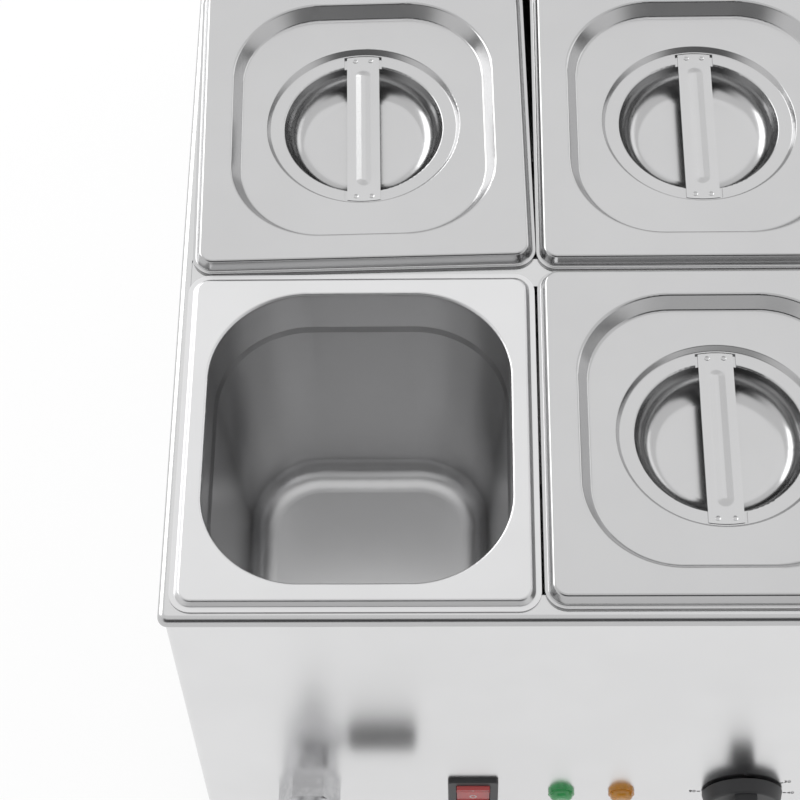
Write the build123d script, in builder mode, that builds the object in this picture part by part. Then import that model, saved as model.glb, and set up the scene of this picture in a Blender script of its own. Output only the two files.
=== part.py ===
"""Countertop bain marie: a heated water bath that holds six small food pans.

Lengths are in millimetres. X runs to the right, Y to the back and Z up. The front faces -Y.
The origin lies on the standing surface, under the middle of the whole part.
"""

import os
from math import asin, atan2, cos, degrees, radians, sin, tan

from build123d import *

os.makedirs("parts", exist_ok=True)

# Food pans, each a sixth of the full gastronorm size
pan_width = 162.0
pan_length = 176.0
pan_depth = 150.0
pan_sheet = 0.7
pan_corner = 10.0
lip_width = 2.5
slope_width = 1.9
slope_rise = 2.6
rim_round = 1.5
foot_round = 0.5
flange_side = 11.85
flange_end = 12.9
mouth_corner = 45.0
mouth_round = 1.4
shoulder_depth = 27.0
shoulder_step = 1.3
shoulder_drop = 2.9
neck_draft = 0.6
wall_draft = 4.2
floor_round = 13.0

# How the pans stand in the bath
row_names = ("front", "middle", "rear")
column_names = ("left", "right")
open_pans = ("front_left",)
column_gap = 1.3
row_gap = 2.1
turned_seat = "middle_left"
turn_share = 0.85
gap_kept = 0.25
slid_seat = "front_right"
slide_share = 0.45

# Pressed lids
lid_sheet = 0.7
lid_lip = 1.6
lid_slope = 2.0
lid_drop = 5.4
lid_foot_round = 0.8
lid_edge_round = 0.5
recess_inset = 17.1
recess_corner = 44.0
recess_slope = 4.6
recess_depth = 7.1
recess_round = 1.5
ring_radius = 47.4
ring_slope = 1.8
ring_depth = 2.6
ring_round = 0.6
dish_radius = 38.8
dish_lean = 3.0
dish_depth = 13.5
dish_round = 12.0
dish_edge_round = 1.0

# Strap handles
strap_width = 16.0
strap_sheet = 1.2
strap_ease = 0.4
pocket_ease = 1.3
rib_width = 7.8
rib_height = 0.9
rib_lean = 3.2
rib_end = 9.0
rib_round = 3.0
dimple_radius = 2.0
dimple_depth = 0.45
dimple_spread = 7.6
dimple_inset = 2.9

# Water bath
bath_sheet = 1.0
bath_margin = 4.6
bath_overlap = 9.0
bath_corner = 20.0
bath_floor_round = 14.0
bath_mouth_round = 1.2
water_space = 24.0
edge_corner = 4.6
edge_height = 5.1
edge_round = 3.5
edge_fold = 2.5
hem_round = 1.0
hem_corner = 1.2

# Divider bars
bar_width = 15.5
bar_sheet = 1.0
bar_leg = 8.0
bar_tab = 8.0
bar_ease = 0.4

# Outer casing
foot_height = 24.0
case_sheet = 0.8
case_ease = 0.1
case_bend = 2.5
bay_height = 54.0
tray_lip = 10.0
rear_return = 14.0
panel_cut = 4.8
vent_length = 26.0
vent_width = 3.2
vent_pitch = 9.0
vent_count = 8
screw_radius = 1.75
screw_head = 3.6
screw_head_height = 2.2
screw_length = 6.0
hole_ease = 0.15

# Feet
foot_radius = 15.0
foot_taper = 2.0
foot_inset = 30.0
foot_bore = 5.2
foot_bore_depth = 11.0
foot_screw = 2.5
foot_head = 4.4
foot_head_height = 3.4
nut_height = 4.0
nut_radius = 4.6

# Heating element
tube_radius = 4.0
element_clear = 8.0
element_bend = 26.0
leg_bend = 7.5
element_half_width = 105.0
leg_half_width = 36.0
element_inset = 46.0
leg_setback = 30.0
bush_radius = 9.0
bush_height = 2.5
shank_radius = 6.4
gasket_sheet = 1.2
rest_width = 12.0
rest_sheet = 1.0
rest_spread = 0.5

# Thermostat
thermostat_share = 0.317
thermostat_width = 36.0
thermostat_height = 34.0
thermostat_deep = 36.0
thermostat_gap = 4.0
collar_radius = 5.0
collar_reach = 4.4
collar_nut = 8.0
collar_nut_height = 2.4
spindle_radius = 3.0
spindle_reach = 16.0
turning_ease = 0.06
knob_radius = 20.0
knob_skirt = 7.0
knob_taper = 1.6
knob_height = 21.0
knob_grip = 11.0
knob_gap = 1.2
knob_recess = 11.0
knob_recess_depth = 4.6
knob_round = 1.4
bulb_radius = 3.0
bulb_length = 90.0
capillary_radius = 0.9
capillary_bend = 6.0
gland_shank = 4.0
gland_flange = 7.0

# Rocker switch
switch_share = -0.0914
bezel_width = 25.0
bezel_height = 33.0
bezel_sheet = 2.2
switch_width = 21.6
switch_height = 29.6
switch_deep = 24.0
rocker_width = 16.4
rocker_radius = 12.2
rocker_gap = 0.35
rocker_turn = 8.0
rocker_peak = 3.4
rocker_valley = 1.2
rocker_back = 3.0
rocker_pivot = 3.2
pivot_radius = 1.5
pivot_reach = 1.4

# Signal lamps
lamp_shares = {"power_lamp": 0.0427, "heat_lamp": 0.134}
lamp_radius = 6.6
lamp_brim = 1.6
lamp_dome = 3.4
lamp_shank = 4.8
lamp_length = 13.0
lamp_nut = 7.4
lamp_nut_height = 3.0

# Drain and tap
drain_share = -0.341
drain_setback = 40.0
drain_bore = 7.0
drain_shank = 10.0
drain_flange = 17.0
drain_flange_height = 2.0
drain_nut_radius = 14.5
drain_nut_height = 6.0
elbow_radius = 12.5
tap_radius = 14.0
tap_collar = 15.5
tap_collar_length = 8.0
tap_body_length = 30.0
ball_radius = 9.6
ball_ease = 0.3
ball_bore = 6.0
spout_radius = 9.0
spout_bend = 15.0
spout_drop = 10.0
stem_radius = 4.0
stem_boss = 7.2
stem_boss_rise = 19.0
stem_rise = 6.0
lever_length = 52.0
lever_width = 11.0
lever_sheet = 3.0
grip_length = 34.0
grip_sheet = 2.0

# Wiring bay
block_width = 34.0
block_length = 22.0
block_height = 16.0
block_bore = 2.2
cutout_radius = 9.0
cutout_height = 9.0
cutout_tab = 6.0
cord_gland_share = 0.341
cord_bore = 4.3
cord_shank = 8.0
cord_collar = 11.0
cord_collar_length = 5.0
cord_dome = 9.6
cord_dome_length = 13.0
cord_nut_height = 5.0

# Sizes that follow from the ones above
rows = len(row_names)
columns = len(column_names)
column_pitch = pan_width + column_gap
row_pitch = pan_length + row_gap
group_width = columns * pan_width + (columns - 1) * column_gap
group_length = rows * pan_length + (rows - 1) * row_gap
mouth_width = pan_width - 2 * flange_side
mouth_length = pan_length - 2 * flange_end
rim_top = pan_sheet + slope_rise

base_z = foot_height
bay_z = base_z + case_sheet
bay_top = bay_z + bay_height
bath_floor = bay_top + bath_sheet
flange_z = bath_floor + water_space + pan_depth - rim_top
lid_z = flange_z + pan_sheet + lid_drop
control_z = bay_z + bay_height / 2

edge_width = group_width + 2 * bath_margin
edge_length = group_length + 2 * bath_margin
bath_width = group_width - 2 * bath_overlap
bath_length = group_length - 2 * bath_overlap
case_width = edge_width - 2 * (edge_fold + case_ease)
case_length = edge_length - 2 * (edge_fold + case_ease)
case_top = flange_z - bath_sheet
front_y = -case_length / 2
rear_y = case_length / 2
inner_rear_y = rear_y - case_sheet

# Places along the front and the rear, as shares of the width
thermostat_x = thermostat_share * case_width
switch_x = switch_share * case_width
lamp_positions = {lamp: share * case_width for lamp, share in lamp_shares.items()}
drain_x = drain_share * case_width
cord_gland_x = cord_gland_share * case_width

element_z = bath_floor + element_clear + tube_radius
element_front = -bath_length / 2 + element_inset
element_rear = bath_length / 2 - element_inset
leg_y = element_front + leg_setback
drain_y = -bath_length / 2 + drain_setback

tap_centre = tap_collar_length + tap_body_length / 2
tap_reach = tap_collar_length + tap_body_length + spout_bend + spout_radius
gland_reach = cord_collar_length + cord_dome_length
middle_y = (tap_reach - gland_reach) / 2

# Faces that pieces are set on, with the plane's normal pointing out of the casing
front_face = Plane(origin=(0, front_y, control_z), x_dir=(1, 0, 0), z_dir=(0, -1, 0))
rear_face = Plane(origin=(0, rear_y, control_z), x_dir=(-1, 0, 0), z_dir=(0, 1, 0))


def save(piece, name):
    """Sets a finished piece in the frame of the whole part and writes it."""
    placed = piece.moved(Location((0, middle_y, 0)))
    placed.label = name
    export_step(placed, f"parts/{name}.step")


def outline(width, length, corner, level):
    """A rounded rectangle at a height."""
    with BuildSketch(Plane.XY.offset(level)) as plan:
        RectangleRounded(width, length, corner)
    return plan.sketch


def tent(width, length, corner, inset, low, high, mode=Mode.ADD):
    """A block with rounded corners whose sides lean in by inset from low to high."""
    foot = outline(width, length, corner, low)
    head = outline(width - 2 * inset, length - 2 * inset, corner - inset, high)
    loft([foot, head], ruled=True, mode=mode)


def rod(plane, radius, length, mode=Mode.ADD, spots=((0, 0),)):
    """Round bars standing on a plane at the given spots."""
    with BuildSketch(plane) as ends:
        with Locations(*spots):
            Circle(radius)
    extrude(ends.sketch, amount=length, mode=mode)


def hex_rod(plane, radius, length, spots=((0, 0),)):
    """Six-sided bars standing on a plane at the given spots."""
    with BuildSketch(plane) as ends:
        with Locations(*spots):
            RegularPolygon(radius, 6)
    extrude(ends.sketch, amount=length)


def tube_along(path, radius):
    """A round bar that follows a path."""
    with BuildSketch(Plane(origin=path @ 0, z_dir=path % 0)) as end:
        Circle(radius)
    sweep(end.sketch, path=path)


def press_rim(lip, slope, rise, sheet, low):
    """Pressed rim of a pan or lid: flat lip, sloped band and raised flat top."""
    extrude(outline(pan_width, pan_length, pan_corner, low), amount=sheet)
    fold = sheet * tan(atan2(rise, slope) / 2)
    for inset, foot, mode in ((lip, low + sheet, Mode.ADD), (lip + fold, low, Mode.SUBTRACT)):
        size = (pan_width - 2 * inset, pan_length - 2 * inset, pan_corner - inset)
        tent(*size, slope, foot, foot + rise, mode)


def cup(grow):
    """The hollow of a pan, or the outside of its wall when grown by the sheet."""
    shoulder_top = rim_top - shoulder_depth
    shoulder_low = shoulder_top - shoulder_drop
    floor = rim_top - pan_depth + pan_sheet
    neck_inset = shoulder_depth * tan(radians(neck_draft))
    shoulder_inset = neck_inset + shoulder_step
    floor_inset = shoulder_inset + (shoulder_low - floor) * tan(radians(wall_draft))
    levels = (
        (floor - grow, floor_inset),
        (shoulder_low - grow, shoulder_inset),
        (shoulder_top - grow, neck_inset),
        (rim_top, 0),
    )
    sections = []
    for level, inset in levels:
        side = grow - inset
        size = (mouth_width + 2 * side, mouth_length + 2 * side)
        sections.append(outline(*size, mouth_corner + side, level))
    with BuildPart() as body:
        loft(sections, ruled=True)
        fillet(body.faces().sort_by(Axis.Z)[0].edges(), floor_round + grow)
    return body.part


def top_face(part):
    """The highest flat face of a part."""
    return part.faces().filter_by(Axis.Z).sort_by(Axis.Z)[-1]


def at_level(shapes, level):
    """Those of some edges or faces that lie flat at a height."""
    return shapes.filter_by_position(Axis.Z, level - hole_ease, level + hole_ease)


def flat_face(part, level):
    """The largest flat face of a part at a height."""
    return at_level(part.faces().filter_by(Axis.Z), level).sort_by(SortBy.AREA)[-1]


def lid_sinks(grow):
    """All that is pressed down in a lid: square recess, round ring and finger dish."""
    recess_width = pan_width - 2 * recess_inset + 2 * grow
    recess_length = pan_length - 2 * recess_inset + 2 * grow
    recess_floor = lid_sheet - recess_depth - grow
    ring_floor = recess_floor - ring_depth
    dish_floor = ring_floor - dish_depth
    ring_top = ring_radius + grow
    ring_low = ring_top - ring_slope
    dish_top = dish_radius + grow
    dish_low = dish_top - dish_lean
    corner = recess_corner + grow
    rim = ring_top + 3 * ring_round
    with BuildPart() as sink:
        mouth = outline(recess_width, recess_length, corner, lid_sheet)
        inner_width = recess_width - 2 * recess_slope
        inner_length = recess_length - 2 * recess_slope
        floor = outline(inner_width, inner_length, corner - recess_slope, recess_floor)
        loft([floor, mouth], ruled=True)
        fillet(sink.faces().sort_by(Axis.Z)[0].edges(), recess_round)
        with BuildSketch(Plane.XZ) as section:
            with BuildLine():
                Polyline(
                    (0, lid_sheet),
                    (rim, lid_sheet),
                    (rim, recess_floor),
                    (ring_top, recess_floor),
                    (ring_low, ring_floor),
                    (dish_top, ring_floor),
                    (dish_low, dish_floor),
                    (0, dish_floor),
                    close=True,
                )
            make_face()
            rounds = (
                (ring_top, recess_floor, ring_round),
                (ring_low, ring_floor, ring_round),
                (dish_top, ring_floor, dish_edge_round),
                (dish_low, dish_floor, dish_round),
            )
            for reach, level, radius in rounds:
                fillet(section.vertices().sort_by_distance((reach, level, 0))[0], radius)
        revolve(axis=Axis.Z)
        with BuildSketch(Plane.XY.offset(ring_floor)):
            Circle(ring_low - ring_round)
            pocket = strap_width + 2 * pocket_ease + 2 * grow
            Rectangle(pocket, 2 * ring_radius, mode=Mode.INTERSECT)
        extrude(amount=-strap_sheet)
    return sink.part


# Food pan, drawn with its lip resting at height zero
cup_outside = cup(pan_sheet)
cup_inside = cup(0)
with BuildPart() as pan:
    press_rim(lip_width, slope_width, slope_rise, pan_sheet, 0)
    add(cup_outside)
    add(cup_inside, mode=Mode.SUBTRACT)
    fillet(top_face(pan).inner_wires()[0].edges(), mouth_round)
    fillet(top_face(pan).outer_wire().edges(), rim_round)
    fillet(flat_face(pan, pan_sheet).inner_wires()[0].edges(), foot_round)

# Lid, drawn with the underside of its flat border at height zero
sinks_outside = lid_sinks(lid_sheet)
sinks_inside = lid_sinks(0)
with BuildPart() as lid:
    press_rim(lid_lip, lid_slope, lid_drop, lid_sheet, -lid_drop)
    add(sinks_outside)
    add(sinks_inside, mode=Mode.SUBTRACT)
    fillet(top_face(lid).inner_wires()[0].edges(), recess_round)
    fillet(top_face(lid).outer_wire().edges(), rim_round)
    fillet(flat_face(lid, lid_sheet - lid_drop).inner_wires()[0].edges(), lid_foot_round)
    fillet(flat_face(lid, -lid_drop).outer_wire().edges(), lid_edge_round)

# Strap handle, drawn in its place in the lid
strap_top = lid_sheet - recess_depth - ring_depth
strap_low = strap_top - strap_sheet
strap_end = ring_radius - ring_slope - ring_round - strap_ease
rib_length = 2 * (strap_end - rib_end)
with BuildPart() as strap:
    with BuildSketch(Plane.XY.offset(strap_low)):
        Circle(strap_end)
        Rectangle(strap_width, 2 * strap_end, mode=Mode.INTERSECT)
    extrude(amount=strap_sheet)
    for rib_low, rib_mode in ((strap_top, Mode.ADD), (strap_low, Mode.SUBTRACT)):
        with BuildSketch(Plane.XY.offset(rib_low)):
            SlotOverall(rib_length, rib_width, rotation=90)
        with BuildSketch(Plane.XY.offset(rib_low + rib_height)):
            SlotOverall(rib_length - 2 * rib_lean, rib_width - 2 * rib_lean, rotation=90)
        loft(ruled=True, mode=rib_mode)
    fillet(top_face(strap).edges(), rib_round)
    fillet(flat_face(strap, strap_top).inner_wires()[0].edges(), rib_round)
    dimple_y = strap_end - dimple_inset
    dimple_z = strap_top + dimple_radius - dimple_depth
    with GridLocations(dimple_spread, 2 * dimple_y, 2, 2):
        with Locations((0, 0, dimple_z)):
            Sphere(dimple_radius, mode=Mode.SUBTRACT)

# Pans, lids and straps in their places. One pan has turned a little in its seat, another one
# has slid back, and neither reaches its neighbours.
turn_swing = turn_share * row_gap
turn_angle = degrees(asin(turn_swing / (pan_length / 2 - pan_corner)))
turn_shift = (1 - gap_kept) * column_gap - turn_swing
for row, row_name in enumerate(row_names):
    for column, column_name in enumerate(column_names):
        seat = f"{row_name}_{column_name}"
        seat_x = (column - (columns - 1) / 2) * column_pitch
        seat_y = (row - (rows - 1) / 2) * row_pitch
        seat_turn = 0.0
        if seat == turned_seat:
            seat_x += min(turn_shift, 0)
            seat_turn = turn_angle
        if seat == slid_seat:
            seat_y += slide_share * row_gap
        pan_place = Location((seat_x, seat_y, flange_z), (0, 0, seat_turn))
        lid_place = Location((seat_x, seat_y, lid_z), (0, 0, seat_turn))
        save(pan.part.moved(pan_place), f"pan_{seat}")
        if seat not in open_pans:
            save(lid.part.moved(lid_place), f"lid_{seat}")
            save(strap.part.moved(lid_place), f"strap_{seat}")


# Water bath with its flange and folded edge
def tub(grow):
    """The hollow of the water bath, or the outside of its wall when grown by the sheet."""
    low = bath_floor - grow
    size = (bath_width + 2 * grow, bath_length + 2 * grow)
    with BuildPart() as body:
        extrude(outline(*size, bath_corner + grow, low), amount=flange_z - low)
        fillet(body.faces().sort_by(Axis.Z)[0].edges(), bath_floor_round + grow)
    return body.part


tub_outside = tub(bath_sheet)
tub_inside = tub(0)
edge_low = flange_z - edge_height
hollow_width = edge_width - 2 * edge_fold
hollow_length = edge_length - 2 * edge_fold
bar_lines = [(row - (rows - 2) / 2) * row_pitch for row in range(rows - 1)]
bar_length = bath_width + 2 * bar_tab
gland_y = leg_y
leg_spots = ((-leg_half_width, leg_y), (leg_half_width, leg_y))
gland_spot = (0, gland_y)
drain_spot = (drain_x, drain_y)
floor_face = Plane.XY.offset(bath_floor)
under_face = Plane(origin=(0, 0, bay_top), x_dir=(1, 0, 0), z_dir=(0, 0, -1))
with BuildPart() as bath:
    extrude(outline(edge_width, edge_length, edge_corner, edge_low), amount=edge_height)
    fillet(top_face(bath).edges(), edge_round)
    hollow = outline(hollow_width, hollow_length, hem_corner, edge_low)
    extrude(hollow, amount=flange_z - bath_sheet - edge_low, mode=Mode.SUBTRACT)
    fillet(bath.faces().sort_by(Axis.Z)[0].edges(), hem_round)
    add(tub_outside)
    add(tub_inside, mode=Mode.SUBTRACT)
    fillet(top_face(bath).inner_wires()[0].edges(), bath_mouth_round)
    for bar_y in bar_lines:
        for side in (-1, 1):
            seat_align = (Align.MIN if side > 0 else Align.MAX, Align.CENTER, Align.MAX)
            reach = bar_tab + bar_ease
            seat_width = bar_width + 2 * bar_ease
            with Locations((side * bath_width / 2, bar_y, flange_z - bar_sheet)):
                Box(reach + bath_sheet, seat_width + 2 * bath_sheet, bath_sheet, align=seat_align)
            with Locations((side * bath_width / 2, bar_y, flange_z)):
                Box(reach, seat_width, bar_sheet, align=seat_align, mode=Mode.SUBTRACT)
    cut = -2 * bath_sheet
    rod(floor_face, shank_radius + hole_ease, cut, Mode.SUBTRACT, leg_spots)
    rod(floor_face, gland_shank + hole_ease, cut, Mode.SUBTRACT, (gland_spot,))
    rod(floor_face, drain_shank + hole_ease, cut, Mode.SUBTRACT, (drain_spot,))
save(bath.part, "water_bath")

# Divider bars: channels that span the bath, with end tabs flush in seats of the flange
bar_names = ("front", "rear")
for bar_y, bar_name in zip(bar_lines, bar_names):
    with BuildPart() as bar:
        with Locations((0, bar_y, flange_z)):
            top_align = (Align.CENTER, Align.CENTER, Align.MAX)
            Box(bar_length, bar_width, bar_sheet, align=top_align)
        span = bath_width - 2 * bar_ease
        with Locations((0, bar_y, flange_z)):
            with GridLocations(1, bar_width - bar_sheet, 1, 2):
                Box(span, bar_sheet, bar_leg, align=top_align)
    save(bar.part, f"divider_bar_{bar_name}")

# Outer casing: front and sides in one folded sheet, with inward returns at the rear edges
case_height = case_top - bay_z
sides = (-1, 1)
screw_z = bay_z + tray_lip / 2
side_screws = [share * case_length for share in (-0.36, 0, 0.36)]
side_faces = [
    Plane(origin=(side * case_width / 2, 0, screw_z), x_dir=(0, side, 0), z_dir=(side, 0, 0))
    for side in sides
]
side_spots = [[(side * spot, 0) for spot in side_screws] for side in sides]
rear_screw_x = (case_width - rear_return) / 2
rear_screw_low = screw_z + rear_return - control_z
rear_screw_high = case_top - rear_return - control_z
rear_spots = [
    (side * rear_screw_x, level) for side in sides for level in (rear_screw_low, rear_screw_high)
]
drain_face = Plane(origin=(drain_x, front_y, control_z), x_dir=(1, 0, 0), z_dir=(0, -1, 0))
lamp_spots = [(lamp_x, 0) for lamp_x in lamp_positions.values()]
with BuildPart() as casing:
    with BuildSketch(Plane.XY.offset(bay_z)):
        RectangleRounded(case_width, case_length, case_bend)
        inside = (case_width - 2 * case_sheet, case_length - 2 * case_sheet)
        RectangleRounded(*inside, case_bend - case_sheet, mode=Mode.SUBTRACT)
        with Locations((0, rear_y)):
            Rectangle(case_width, 4 * case_bend, mode=Mode.SUBTRACT)
        for side in sides:
            with Locations((side * (case_width - case_sheet) / 2, inner_rear_y - case_bend)):
                Rectangle(case_sheet, 2 * case_bend)
            with Locations((side * (case_width - rear_return) / 2, inner_rear_y - case_sheet / 2)):
                Rectangle(rear_return, case_sheet)
    extrude(amount=case_height)
    cut = -2 * case_sheet
    rod(front_face, collar_radius + hole_ease, cut, Mode.SUBTRACT, ((thermostat_x, 0),))
    rod(front_face, lamp_shank + hole_ease, cut, Mode.SUBTRACT, lamp_spots)
    rod(front_face, drain_shank + hole_ease, cut, Mode.SUBTRACT, ((drain_x, 0),))
    with BuildSketch(front_face):
        with Locations((switch_x, 0)):
            Rectangle(switch_width + 2 * hole_ease, switch_height + 2 * hole_ease)
    extrude(amount=cut, mode=Mode.SUBTRACT)
    for face, spots in zip(side_faces, side_spots):
        rod(face, screw_radius + hole_ease, cut, Mode.SUBTRACT, spots)
    rod(rear_face, screw_radius + hole_ease, 2 * cut, Mode.SUBTRACT, rear_spots)
save(casing.part, "casing")

# Rear panel with vents and the cord entry
cord_spot = (-cord_gland_x, 0)
with BuildPart() as rear_panel:
    with Locations((0, inner_rear_y, bay_z)):
        Box(case_width, case_sheet, case_height, align=(Align.CENTER, Align.MIN, Align.MIN))
    chamfer(rear_panel.edges().filter_by(Axis.Y).group_by(Axis.Z)[-1], panel_cut)
    with BuildSketch(rear_face):
        with GridLocations(vent_pitch, 1, vent_count, 1):
            SlotOverall(vent_length, vent_width, rotation=90)
    extrude(amount=2 * -case_sheet, mode=Mode.SUBTRACT)
    rod(rear_face, cord_shank + hole_ease, 2 * -case_sheet, Mode.SUBTRACT, (cord_spot,))
    rod(rear_face, screw_radius + hole_ease, 2 * -case_sheet, Mode.SUBTRACT, rear_spots)
save(rear_panel.part, "rear_panel")

# Base tray with upturned lips, vents and foot holes
foot_x = case_width / 2 - foot_inset
foot_y = case_length / 2 - foot_inset
foot_spots = [(side * foot_x, end * foot_y) for end in sides for side in sides]
lip_x = case_width / 2 - case_sheet
lip_y = case_length / 2 - case_sheet
with BuildPart() as tray:
    extrude(outline(case_width, case_length, case_bend, base_z), amount=case_sheet)
    for side in sides:
        lip_align = (Align.MAX if side > 0 else Align.MIN, Align.CENTER, Align.MIN)
        with Locations((side * lip_x, 0, bay_z)):
            Box(case_sheet, case_length - 2 * rear_return, tray_lip, align=lip_align)
        lip_align = (Align.CENTER, Align.MAX if side > 0 else Align.MIN, Align.MIN)
        with Locations((0, side * lip_y, bay_z)):
            Box(case_width - 3 * rear_return, case_sheet, tray_lip, align=lip_align)
    base_face = Plane.XY.offset(base_z)
    rod(base_face, foot_screw + hole_ease, 2 * case_sheet, Mode.SUBTRACT, foot_spots)
    with BuildSketch(base_face):
        with GridLocations(vent_pitch, case_length / 2, vent_count, 2):
            SlotOverall(vent_length, vent_width, rotation=90)
    extrude(amount=2 * case_sheet, mode=Mode.SUBTRACT)
    for face, spots in zip(side_faces, side_spots):
        rod(face, screw_radius + hole_ease, -3 * case_sheet, Mode.SUBTRACT, spots)
save(tray.part, "base_tray")


def pan_head(face, spots):
    """Screws with tapered round heads, set in a face at the given spots."""
    rod(face, screw_radius, -screw_length, spots=spots)
    rod(face, screw_head, screw_head_height / 2, spots=spots)
    with BuildSketch(face.offset(screw_head_height / 2)) as crown:
        with Locations(*spots):
            Circle(screw_head)
    extrude(crown.sketch, amount=screw_head_height / 2, taper=38)


with BuildPart() as casing_screws:
    for face, spots in zip(side_faces, side_spots):
        pan_head(face, spots)
    pan_head(rear_face, rear_spots)
save(casing_screws.part, "casing_screws")

# Feet, each held by a screw from below and a nut in the wiring bay
stand = (Align.CENTER, Align.CENTER, Align.MIN)
with BuildPart() as foot:
    Cone(foot_radius - foot_taper, foot_radius, foot_height, align=stand)
    fillet(foot.faces().sort_by(Axis.Z)[0].edges(), foot_taper / 2)
    Cylinder(foot_bore, foot_bore_depth, align=stand, mode=Mode.SUBTRACT)
    Cylinder(foot_screw + hole_ease, foot_height, align=stand, mode=Mode.SUBTRACT)
foot_names = [f"foot_{end}_{side}" for end in ("front", "rear") for side in column_names]
for foot_name, spot in zip(foot_names, foot_spots):
    save(foot.part.moved(Location((*spot, 0))), foot_name)
with BuildPart() as foot_screws:
    rod(Plane.XY.offset(foot_bore_depth), foot_head, -foot_head_height, spots=foot_spots)
    reach = bay_z + nut_height + foot_screw - foot_bore_depth
    rod(Plane.XY.offset(foot_bore_depth), foot_screw, reach, spots=foot_spots)
save(foot_screws.part, "foot_screws")
with BuildPart() as foot_nuts:
    hex_rod(Plane.XY.offset(bay_z), nut_radius, nut_height, foot_spots)
    bay_floor = Plane.XY.offset(bay_z)
    rod(bay_floor, foot_screw + hole_ease, nut_height, Mode.SUBTRACT, foot_spots)
save(foot_nuts.part, "foot_nuts")

# Heating element on two rests over the floor of the bath
leg_low = bay_top - (bay_height - thermostat_height) - bush_height
bend_side = leg_bend * (1 - cos(radians(45)))
bend_rise = leg_bend * sin(radians(45))
with BuildPart() as element:
    with BuildLine() as element_path:
        ends = []
        for side in sides:
            leg_x = side * leg_half_width
            turn = (leg_x, leg_y, element_z - leg_bend)
            way = (leg_x, leg_y + bend_side, element_z - leg_bend + bend_rise)
            run = (leg_x, leg_y + leg_bend, element_z)
            ends.append((leg_x, leg_y, leg_low))
            ends.append(turn)
            ends.append(way)
            ends.append(run)
        Line(ends[0], ends[1])
        ThreePointArc(ends[1], ends[2], ends[3])
        FilletPolyline(
            ends[3],
            (-leg_half_width, element_rear, element_z),
            (-element_half_width, element_rear, element_z),
            (-element_half_width, element_front, element_z),
            (element_half_width, element_front, element_z),
            (element_half_width, element_rear, element_z),
            (leg_half_width, element_rear, element_z),
            ends[7],
            radius=element_bend,
        )
        ThreePointArc(ends[7], ends[6], ends[5])
        Line(ends[5], ends[4])
    tube_along(element_path.wire(), tube_radius)
save(element.part, "heating_element")

rest_y = rest_spread * element_rear
with BuildPart() as rests:
    with Locations((0, 0, bath_floor + element_clear)):
        with GridLocations(1, 2 * rest_y, 1, 2):
            rest_length = 2 * (element_half_width + rest_width)
            hang = (Align.CENTER, Align.CENTER, Align.MAX)
            Box(rest_length, rest_width, element_clear, align=hang)
            with Locations((0, 0, -rest_sheet)):
                gap = rest_width - 2 * rest_sheet
                Box(rest_length, gap, element_clear, align=hang, mode=Mode.SUBTRACT)
save(rests.part, "element_rests")

# Fittings through the floor of the bath: element bushes, bulb gland and drain, on gaskets
seal_face = floor_face.offset(gasket_sheet)
shank_length = gasket_sheet + bath_sheet + 2 * bush_height + nut_height
with BuildPart() as bushes:
    rod(seal_face, bush_radius, bush_height, spots=leg_spots)
    rod(seal_face, shank_radius, -shank_length, spots=leg_spots)
    bore = tube_radius + hole_ease
    rod(seal_face.offset(-shank_length), bore, 2 * shank_length, Mode.SUBTRACT, leg_spots)
save(bushes.part, "element_bushes")
with BuildPart() as bulb_gland:
    rod(seal_face, gland_flange, bush_height, spots=(gland_spot,))
    rod(seal_face, gland_shank, -shank_length, spots=(gland_spot,))
    bore = capillary_radius + hole_ease
    rod(seal_face.offset(-shank_length), bore, 2 * shank_length, Mode.SUBTRACT, (gland_spot,))
save(bulb_gland.part, "bulb_gland")
with BuildPart() as gaskets:
    rod(floor_face, bush_radius, gasket_sheet, spots=leg_spots)
    rod(floor_face, gland_flange, gasket_sheet, spots=(gland_spot,))
    rod(floor_face, drain_flange, gasket_sheet, spots=(drain_spot,))
    rod(floor_face, shank_radius + hole_ease, gasket_sheet, Mode.SUBTRACT, leg_spots)
    rod(floor_face, gland_shank + hole_ease, gasket_sheet, Mode.SUBTRACT, (gland_spot,))
    rod(floor_face, drain_shank + hole_ease, gasket_sheet, Mode.SUBTRACT, (drain_spot,))
save(gaskets.part, "bath_gaskets")
with BuildPart() as bath_nuts:
    hex_rod(under_face, bush_radius + bush_height, nut_height, [(x, -y) for x, y in leg_spots])
    hex_rod(under_face, gland_flange + bush_height, nut_height, ((0, -gland_y),))
    drain_under = ((drain_x, -drain_y),)
    hex_rod(under_face, drain_nut_radius, drain_nut_height, drain_under)
    bore = shank_radius + hole_ease
    rod(under_face, bore, nut_height, Mode.SUBTRACT, [(x, -y) for x, y in leg_spots])
    rod(under_face, gland_shank + hole_ease, nut_height, Mode.SUBTRACT, ((0, -gland_y),))
    rod(under_face, drain_shank + hole_ease, drain_nut_height, Mode.SUBTRACT, drain_under)
save(bath_nuts.part, "bath_nuts")

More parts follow.
